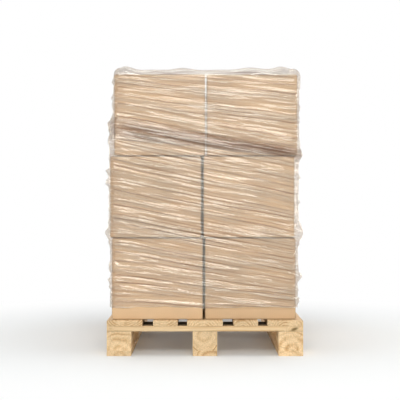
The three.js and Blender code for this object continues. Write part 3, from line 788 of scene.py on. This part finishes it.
def filmTurn(name, turn, pleats, material):
    overlap = np.interp(columnAt, cornerAt, webLap)
    bottom, top, z, inset, rise = turnRows(turn, overlap)
    bulge, *shadingAndGathering = relief(z + 0.7 * inset, pleats)
    flat = np.clip(inset / 0.05, 0, 1)  # the film turns level this soon past the wall
    over = wrap["standoff"] + wrap["perTurn"] * (turn + columnAt / girth)[:, None]
    edge = {side: reach(z, side) for side in slack}
    radius = wrap["cornerRadius"]
    out = radius + over + bulge * (1 - flat)
    px, py = (
        (edge[far] - edge[near]) / 2
        + columnPlace[:, [axis]] * ((edge[far] + edge[near]) / 2 - inset - radius)
        + columnOut[:, [axis]] * out
        for axis, near, far in ((0, "left", "right"), (1, "front", "rear"))
    )
    pz = z + rise + flat * (over + bulge)
    webHeight = alongFolds(z) + inset + wrap["webShift"] * turn
    lapped = (bottom + overlap)[:, None] - z if turn == 0 else z - (top - overlap)[:, None]
    lapped = lapped / (0.4 * overlap)[:, None]  # it is full this far into the overlap
    fields = filmFields(z - bottom[:, None], lapped, z, inset, rise, *shadingAndGathering)
    secondPly = {"gatheredAndShaded": 0.0, "milkAndHighlight": cloudingAndHighlight["least"], "taut": 1.0}  # where a turn's end clings flat

    # A flat grid, then each of its vertices moved to its place on the load. The last columns lap the first.
    count, rows = z.shape
    across = count + int(np.searchsorted(columnAt, wrap["lap"]))
    bm = bmesh.new()
    bmesh.ops.create_grid(bm, x_segments=across - 1, y_segments=rows - 1, size=0.5)
    uvLayer = bm.loops.layers.uv.new("web")
    layers = {field: bm.verts.layers.float.new(field) for field in fields}
    where = {}
    for vert in bm.verts:
        column = round((vert.co.x + 0.5) * (across - 1))
        row = round((vert.co.y + 0.5) * (rows - 1))
        where[vert.index] = (column, row)
        c = column % count
        spread = wrap["perTurn"] * (column // count)
        vert.co = (
            px[c, row] + columnOut[c, 0] * spread,
            py[c, row] + columnOut[c, 1] * spread,
            pz[c, row] + spread * flat[c, row],
        )
        for field, values in fields.items():
            vert[layers[field]] = values[c, row] if column < count else secondPly[field]
    for face in bm.faces:
        for loop in face.loops:
            column, row = where[loop.vert.index]
            c = column % count
            loop[uvLayer].uv = (columnAt[c] + girth * (column // count), webHeight[c, row])
    bmesh.ops.recalc_face_normals(bm, faces=bm.faces)
    middleFace = next(f for f in bm.faces if abs(f.normal.y) > 0.9)
    if middleFace.normal.y * middleFace.calc_center_median().y < 0:
        bmesh.ops.reverse_faces(bm, faces=bm.faces)
    for face in bm.faces:
        face.smooth = True
    piece = finishPiece(name, bm, material)
    wall = piece.modifiers.new("thickness", "SOLIDIFY")
    wall.thickness = wrap["thickness"]
    wall.offset = -1
    return piece


film = {
    "haze": "#ECEBDE",
    "hazeShare": 0.036,  # of milky film in one surface, seen square on
    "milkyShare": 0.060,  # and more in a hem, a fold or a lap
    "crestHighlightShare": 0.092,  # and more along the crest of a pleat, as a painted highlight
    "edgeShare": 0.02,  # and more seen along the sheet
    "clear": "#FCFBFA",
    "tint": "#E5DEDA",  # what a pleat lets through, also the colour of the painted shade under it
    "foldTint": "#E3E1E2",  # and what a milky fold does
    "mirrored": 0.032,  # what one surface reflects, seen square on
    "roughness": 0.12,
    "pleatLength": 0.48,
    "pleatPitch": 0.0095,
    "pleatRise": 0.0038,
    "crinkleLength": 0.22,
    "crinklePitch": 0.0048,
    "crinkleRise": 0.0003,
    "grazingGloss": 0.3,  # what it reflects seen along the sheet
    "clungGloss": 0.4,  # what is left of that where it clings flat to another ply
}


# Polyethylene stretch film: clear, glossy, and milky where it is gathered or seen along the sheet, with
# painted shade under its pleats and a painted highlight of milk on their crests. Its pull shows as fine
# crinkles along the web.
def stretchFilm(name):
    material, tree, output, _ = startMaterial(name)
    web = addNode(tree, "UVMap", uv_map="web").outputs[0]
    drift = addNode(tree, "TexNoise", {"Vector": web, "Scale": 2.2, "Detail": 1.0}).outputs[0]
    drift = addNode(tree, "MapRange", {"Value": drift, 1: 0.2, 2: 0.8, 3: -0.006, 4: 0.006}).outputs[0]
    drift = addNode(tree, "CombineXYZ", {1: drift}).outputs[0]
    web = addNode(tree, "VectorMath", {0: web, 1: drift}, operation="ADD").outputs[0]
    coarse = addNode(
        tree, "Mapping", {"Vector": web, "Scale": (1 / film["pleatLength"], 1 / film["pleatPitch"], 1)}
    ).outputs[0]
    fine = addNode(
        tree, "Mapping", {"Vector": web, "Scale": (1 / film["crinkleLength"], 1 / film["crinklePitch"], 1)}
    ).outputs[0]
    ridges = {"Scale": 1.0, "Detail": 0.0}
    pleat = addNode(tree, "TexNoise", {"Vector": coarse, **ridges}).outputs[0]
    crinkle = addNode(tree, "TexNoise", {"Vector": fine, "Scale": 1.0, "Detail": 1.0}).outputs[0]
    field = {
        key: addNode(tree, "Attribute", attribute_name=key).outputs["Fac"]
        for key in ("gatheredAndShaded", "milkAndHighlight", "taut")
    }
    loose = addNode(tree, "MapRange", {"Value": field["taut"], 3: 1.0, 4: 0.1}).outputs[0]
    bump = addNode(
        tree, "Bump", {"Height": pleat, "Strength": loose, "Distance": film["pleatRise"]}
    ).outputs[0]
    bump = addNode(
        tree, "Bump", {"Height": crinkle, "Strength": 1.0, "Distance": film["crinkleRise"], "Normal": bump}
    ).outputs[0]
    # Painted shade: the tint darkens the underside of each pleat of the bump, where the pleat falls away
    # below.
    above = addNode(tree, "VectorMath", {0: coarse, 1: (0, 0.35, 0)}, operation="ADD").outputs[0]
    above = addNode(tree, "TexNoise", {"Vector": above, **ridges}).outputs[0]
    flank = addNode(tree, "Math", {0: above, 1: pleat}, operation="SUBTRACT").outputs[0]
    paintedUnderShade = addNode(tree, "MapRange", {"Value": flank, 1: 0.02, 2: 0.2, 3: 0.0, 4: 1.0}).outputs[0]
    paintedUnderShade = addNode(tree, "Math", {0: paintedUnderShade, 1: loose}, operation="MULTIPLY").outputs[0]
    shaded = addNode(tree, "Math", {0: field["gatheredAndShaded"], 1: paintedUnderShade}, operation="MAXIMUM").outputs[0]
    facing = addNode(tree, "LayerWeight", {"Blend": 0.5, "Normal": bump}).outputs["Facing"]
    steep = addNode(tree, "Math", {0: facing, 1: 2.0}, operation="POWER").outputs[0]
    shaded = addNode(tree, "Mix", {"Factor": steep, "A": shaded, "B": 0.15}).outputs[0]
    tint = addNode(
        tree, "Mix", {0: field["milkAndHighlight"], 6: linear(film["tint"]), 7: linear(film["foldTint"])},
        data_type="RGBA",
    ).outputs[2]
    tint = addNode(
        tree, "Mix", {0: shaded, 6: linear(film["clear"]), 7: tint}, data_type="RGBA"
    ).outputs[2]
    share = addNode(
        tree, "Math", {0: field["milkAndHighlight"], 1: film["milkyShare"], 2: film["hazeShare"]},
        operation="MULTIPLY_ADD",
    ).outputs[0]
    # Painted highlight: more milk on the upper flank of each pleat.
    crest = addNode(
        tree, "MapRange", {"Value": flank, 1: -0.2, 2: -0.02, 3: film["crestHighlightShare"], 4: 0.0}
    ).outputs[0]
    share = addNode(tree, "Math", {0: share, 1: crest}, operation="ADD").outputs[0]
    share = addNode(tree, "Math", {0: share, 1: loose}, operation="MULTIPLY").outputs[0]
    share = addNode(
        tree, "Math", {0: steep, 1: film["edgeShare"], 2: share}, operation="MULTIPLY_ADD", use_clamp=True
    ).outputs[0]
    clear = addNode(tree, "BsdfTransparent", {0: tint}).outputs[0]
    milk = addNode(tree, "BsdfDiffuse", {0: linear(film["haze"]), "Normal": bump}).outputs[0]
    body = addNode(tree, "MixShader", {0: share, 1: clear, 2: milk}).outputs[0]
    grazing = addNode(tree, "Math", {0: facing, 1: 5.0}, operation="POWER").outputs[0]
    mirrored = addNode(
        tree, "MapRange", {"Value": grazing, 3: film["mirrored"], 4: film["grazingGloss"]}
    ).outputs[0]
    clung = addNode(
        tree, "MapRange", {"Value": field["milkAndHighlight"], 1: cloudingAndHighlight["least"], 2: 0.0, 3: film["clungGloss"]}
    ).outputs[0]
    mirrored = addNode(tree, "Math", {0: mirrored, 1: clung}, operation="MULTIPLY").outputs[0]
    gloss = addNode(
        tree, "BsdfAnisotropic", {0: (1, 1, 1, 1), "Roughness": film["roughness"], "Normal": bump}
    ).outputs[0]
    surface = addNode(tree, "MixShader", {0: mirrored, 1: body, 2: gloss}).outputs[0]
    tree.links.new(surface, output.inputs[0])
    return material


def makeFilm():
    material = stretchFilm("polyethylene_stretch_film")
    pleats = makePleats()
    for turn, name in enumerate(("film_upper_turns", "film_lower_turns")):
        piece = filmTurn(name, turn, pleats, material)
        if turn == 0:
            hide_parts("stretch_film")
        print(name, "made")


makeFilm()

light = {
    "ambient": {"horizon": 0.92, "zenith": 0.38},
    "key": "#FFFDF3",  # the softboxes burn a shade warmer than the fill
    "softboxes": {
        "front": {"size": (1.7, 1.2), "place": (0.0, -3.9, 2.15), "watts": 62},
        "frontLeft": {"size": (0.9, 0.7), "place": (-3.3, -3.3, 1.1), "watts": 9},
        "frontRight": {"size": (0.9, 0.7), "place": (3.3, -3.3, 1.1), "watts": 9},
        "rearLeft": {"size": (1.1, 0.8), "place": (-3.3, 3.3, 1.1), "watts": 20},
        "rearRight": {"size": (1.1, 0.8), "place": (3.3, 3.3, 1.1), "watts": 20},
        "left": {"size": (2.4, 0.9), "place": (-4.2, -0.4, 0.8), "watts": 28},
        "right": {"size": (2.4, 0.9), "place": (4.2, -0.4, 0.8), "watts": 62},
        "rear": {"size": (2.4, 0.9), "place": (0.0, 4.3, 0.6), "watts": 60},
        "top": {"size": (2.0, 2.0), "place": (0.0, -0.3, 3.8), "watts": 38},
    },
    "aim": (0, 0, 0.65),
    "floorColour": "#F4F8FE",
    "floorGlow": 0.05,  # lifts the shade under the pallet
    "floorSize": 30,
    "fadeFrom": 0.7,  # from here the floor pales to white, out to where it is all white
    "fadeTo": 1.9,
}


def makeWorld():
    world = bpy.data.worlds.new("studio")
    scene.world = world
    world.use_nodes = True
    tree = world.node_tree
    tree.nodes.clear()
    path = addNode(tree, "LightPath").outputs
    seen = path["Is Camera Ray"]
    for ray in ("Is Glossy Ray", "Is Transmission Ray"):
        seen = addNode(tree, "Math", {0: seen, 1: path[ray]}, operation="ADD", use_clamp=True).outputs[0]
    direction = addNode(tree, "TexCoord").outputs["Generated"]
    up = addNode(tree, "SeparateXYZ", {0: direction}).outputs[2]
    horizon, zenith = light["ambient"].values()  # the walls of the studio are paler than its ceiling
    ambient = addNode(
        tree, "MapRange", {"Value": up, 1: 0.0, 2: 0.6, 3: horizon, 4: zenith},
        interpolation_type="SMOOTHSTEP",
    ).outputs[0]
    strength = addNode(tree, "MapRange", {"Value": seen, 3: ambient, 4: 1.0}).outputs[0]
    sky = addNode(tree, "Background", {0: (1, 1, 1, 1), "Strength": strength}).outputs[0]
    output = addNode(tree, "OutputWorld")
    tree.links.new(sky, output.inputs[0])


def makeSoftbox(name, settings):
    data = bpy.data.lights.new(f"softbox_{name}", "AREA")
    data.shape = "RECTANGLE"
    data.size, data.size_y = settings["size"]
    data.energy = settings["watts"]
    data.color = linear(light["key"])[:3]
    lamp = bpy.data.objects.new(f"softbox_{name}", data)
    lamp.location = settings["place"]
    away = Vector(settings["place"]) - Vector(light["aim"])
    lamp.rotation_euler = away.to_track_quat("Z", "Y").to_euler()
    lamp.visible_camera = False
    scene.collection.objects.link(lamp)


# Matt studio floor: pale, with the load's soft shadow on it, and pure white further out where it meets the
# backdrop.
def makeFloor():
    material, tree, output, place = startMaterial("matt_studio_floor")
    distance = addNode(tree, "VectorMath", {0: place}, operation="LENGTH").outputs["Value"]
    away = addNode(
        tree, "MapRange",
        {"Value": distance, 1: light["fadeFrom"], 2: light["fadeTo"], 3: light["floorGlow"]},
        interpolation_type="SMOOTHSTEP",
    ).outputs[0]
    camera = addNode(tree, "LightPath").outputs["Is Camera Ray"]
    away = addNode(tree, "Math", {0: away, 1: camera}, operation="MULTIPLY").outputs[0]
    matt = addNode(tree, "BsdfDiffuse", {"Color": linear(light["floorColour"])}).outputs[0]
    white = addNode(tree, "Emission", {"Strength": 1.0}).outputs[0]
    surface = addNode(tree, "MixShader", {0: away, 1: matt, 2: white}).outputs[0]
    tree.links.new(surface, output.inputs[0])
    bm = bmesh.new()
    bmesh.ops.create_grid(bm, x_segments=1, y_segments=1, size=light["floorSize"])
    mesh = bpy.data.meshes.new("floor")
    bm.to_mesh(mesh)
    bm.free()
    mesh.materials.append(material)
    floor = bpy.data.objects.new("floor", mesh)
    scene.collection.objects.link(floor)


makeWorld()
for softboxName, softboxSettings in light["softboxes"].items():
    makeSoftbox(softboxName, softboxSettings)
makeFloor()
print("light and floor made")
